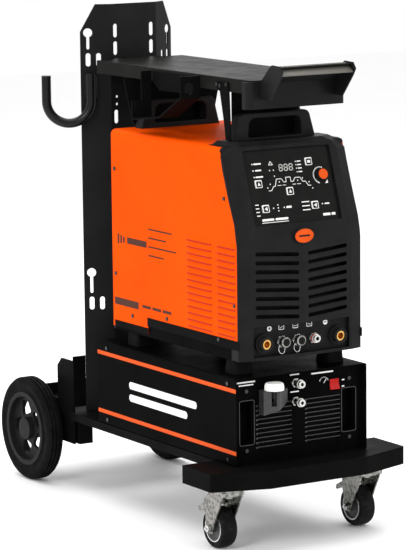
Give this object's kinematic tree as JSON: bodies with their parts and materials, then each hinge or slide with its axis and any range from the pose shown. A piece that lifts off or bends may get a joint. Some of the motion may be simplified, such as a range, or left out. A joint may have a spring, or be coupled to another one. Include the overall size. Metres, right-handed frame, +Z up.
{
  "type": "tig welding machine",
  "caption": "Inverter TIG power source on a liquid cooling unit, both on a sheet-steel trolley with rear wheels, braked swivel casters, a slotted column, cable hook and top shelf.",
  "frame": {"origin": "floor level, centre of the overall outline", "axes": "+X to the right seen from the operator's side, +Y to the rear, +Z up"},
  "size_m": [0.46, 0.98, 1.035],
  "materials": {
    "trolley_black": "satin powder coat",
    "case_orange": "fine textured powder coat",
    "cooler_black": "fine textured powder coat",
    "moulded_black": "fine moulded texture",
    "panel_black": "printed overlay, satin",
    "knob_orange": "satin",
    "button_white": "satin",
    "brass": "turned",
    "chrome": "bright plated",
    "zinc": "zinc plated",
    "tyre": "moulded rubber",
    "rim_black": "moulded",
    "caster_tyre": "worn",
    "rubber": "moulded",
    "cap_white": "moulded",
    "switch_red": "polished",
    "aluminium": "extruded",
    "board_green": "solder mask",
    "lacquered_iron": "lacquered laminations",
    "tank_plastic": "natural polyethylene"
  },
  "bodies": {
    "root": {"bottle_platform": "trolley_black", "cable_cradle": "trolley_black", "cable_hook": "trolley_black", "cap_straps": "rubber", "carry_handles": "moulded_black", "case_base": "cooler_black", "case_cover": "case_orange", "caster_plate_left": "zinc", "caster_plate_right": "zinc", "chassis_frame": "trolley_black", "column": "trolley_black", "control_panel": "panel_black", "control_sockets": "chrome", "coolant_couplings": "chrome", "coolant_tank": "tank_plastic", "cooler_base": "cooler_black", "cooler_case": "cooler_black", "cooler_front": "cooler_black", "deck_beam": "trolley_black", "document_rest": "trolley_black", "filler_housing": "moulded_black", "front_fascia": "moulded_black", "gas_outlet": "chrome", "heatsink": "aluminium", "machine_feet": "rubber", "panel_screws": "zinc", "power_board": "board_green", "pump": "zinc", "radiator": "aluminium", "rear_axle": "zinc", "rear_panel": "moulded_black", "shelf_apron": "trolley_black", "shelf_hangers": "trolley_black", "socket_inserts": "brass", "top_shelf": "trolley_black", "transformer": "lacquered_iron", "weld_sockets": "moulded_black"},
    "rear_wheel_left": {"rear_tyre_left": "tyre", "rear_rim_left": "rim_black"},
    "caster_left": {"caster_fork_left": "zinc"},
    "caster_left_roller": {"caster_wheel_left": "caster_tyre"},
    "caster_left_brake": {"brake_pedal_left": "rubber"},
    "rear_wheel_right": {"rear_tyre_right": "tyre", "rear_rim_right": "rim_black"},
    "caster_right": {"caster_fork_right": "zinc"},
    "caster_right_roller": {"caster_wheel_right": "caster_tyre"},
    "caster_right_brake": {"brake_pedal_right": "rubber"},
    "encoder": {"encoder_knob": "knob_orange"},
    "program_key": {"program_button": "button_white"},
    "waveform_key": {"waveform_button": "button_white"},
    "trigger_mode_key": {"trigger_mode_button": "button_white"},
    "purge_key": {"purge_button": "button_white"},
    "parameter_key": {"parameter_button": "button_white"},
    "socket_cap_left": {"control_cap_left": "chrome"},
    "socket_cap_right": {"control_cap_right": "chrome"},
    "coolant_cap": {"filler_cap": "cap_white"},
    "pump_switch": {"rocker_switch": "switch_red"},
    "mains_switch": {"mains_switch_knob": "moulded_black"},
    "case_fan": {"fan_rotor": "moulded_black"},
    "cooler_fan": {"cooler_fan_rotor": "moulded_black"}
  },
  "joints": [
    {"name": "rear_wheel_left_spin", "type": "hinge", "parent": "root", "child": "rear_wheel_left", "pos_m": [-0.173, 0.378, 0.112], "axis": [1, 0, 0], "continuous": true},
    {"name": "caster_left_swivel", "type": "hinge", "parent": "root", "child": "caster_left", "pos_m": [-0.165, -0.406, 0.118], "axis": [0, 0, 1], "continuous": true},
    {"name": "caster_left_roll", "type": "hinge", "parent": "caster_left", "child": "caster_left_roller", "pos_m": [-0.165, -0.376, 0.041], "axis": [1, 0, 0], "continuous": true},
    {"name": "caster_left_brake_press", "type": "hinge", "parent": "caster_left", "child": "caster_left_brake", "pos_m": [-0.165, -0.362, 0.088], "axis": [-1, 0, 0], "range_deg": [0, 11]},
    {"name": "rear_wheel_right_spin", "type": "hinge", "parent": "root", "child": "rear_wheel_right", "pos_m": [0.173, 0.378, 0.112], "axis": [1, 0, 0], "continuous": true},
    {"name": "caster_right_swivel", "type": "hinge", "parent": "root", "child": "caster_right", "pos_m": [0.165, -0.406, 0.118], "axis": [0, 0, 1], "continuous": true},
    {"name": "caster_right_roll", "type": "hinge", "parent": "caster_right", "child": "caster_right_roller", "pos_m": [0.165, -0.376, 0.041], "axis": [1, 0, 0], "continuous": true},
    {"name": "caster_right_brake_press", "type": "hinge", "parent": "caster_right", "child": "caster_right_brake", "pos_m": [0.165, -0.362, 0.088], "axis": [-1, 0, 0], "range_deg": [0, 11]},
    {"name": "encoder_turn", "type": "hinge", "parent": "root", "child": "encoder", "pos_m": [0.0733, -0.3881, 0.72379], "axis": [0, -0.9521, 0.3057], "continuous": true},
    {"name": "program_press", "type": "slide", "parent": "root", "child": "program_key", "axis": [0, 0.9521, -0.3057], "range_m": [0, 0.0012], "stiffness_N_per_m": 300, "springref_m": -0.0008},
    {"name": "waveform_press", "type": "slide", "parent": "root", "child": "waveform_key", "axis": [0, 0.9521, -0.3057], "range_m": [0, 0.0012], "stiffness_N_per_m": 300, "springref_m": -0.0008},
    {"name": "trigger_mode_press", "type": "slide", "parent": "root", "child": "trigger_mode_key", "axis": [0, 0.9521, -0.3057], "range_m": [0, 0.0012], "stiffness_N_per_m": 300, "springref_m": -0.0008},
    {"name": "purge_press", "type": "slide", "parent": "root", "child": "purge_key", "axis": [0, 0.9521, -0.3057], "range_m": [0, 0.0012], "stiffness_N_per_m": 300, "springref_m": -0.0008},
    {"name": "parameter_press", "type": "slide", "parent": "root", "child": "parameter_key", "axis": [0, 0.9521, -0.3057], "range_m": [0, 0.0012], "stiffness_N_per_m": 300, "springref_m": -0.0008},
    {"name": "socket_cap_left_turn", "type": "hinge", "parent": "root", "child": "socket_cap_left", "pos_m": [-0.043, -0.426, 0.4055], "axis": [0, 1, 0], "continuous": true},
    {"name": "socket_cap_right_turn", "type": "hinge", "parent": "root", "child": "socket_cap_right", "pos_m": [-0.007, -0.426, 0.4055], "axis": [0, 1, 0], "continuous": true},
    {"name": "coolant_cap_turn", "type": "hinge", "parent": "root", "child": "coolant_cap", "pos_m": [-0.0695, -0.429, 0.32], "axis": [0, 0, 1], "range_deg": [0, 90]},
    {"name": "pump_switch_rock", "type": "hinge", "parent": "root", "child": "pump_switch", "pos_m": [0.0865, -0.406, 0.304], "axis": [1, 0, 0], "range_deg": [0, 22]},
    {"name": "mains_switch_turn", "type": "hinge", "parent": "root", "child": "mains_switch", "pos_m": [-0.085, 0.067, 0.7], "axis": [0, 1, 0], "range_deg": [0, 90]},
    {"name": "case_fan_spin", "type": "hinge", "parent": "root", "child": "case_fan", "pos_m": [0, 0.022, 0.59], "axis": [0, 1, 0], "continuous": true},
    {"name": "cooler_fan_spin", "type": "hinge", "parent": "root", "child": "cooler_fan", "pos_m": [0, 0.031, 0.255], "axis": [0, 1, 0], "continuous": true}
  ]
}
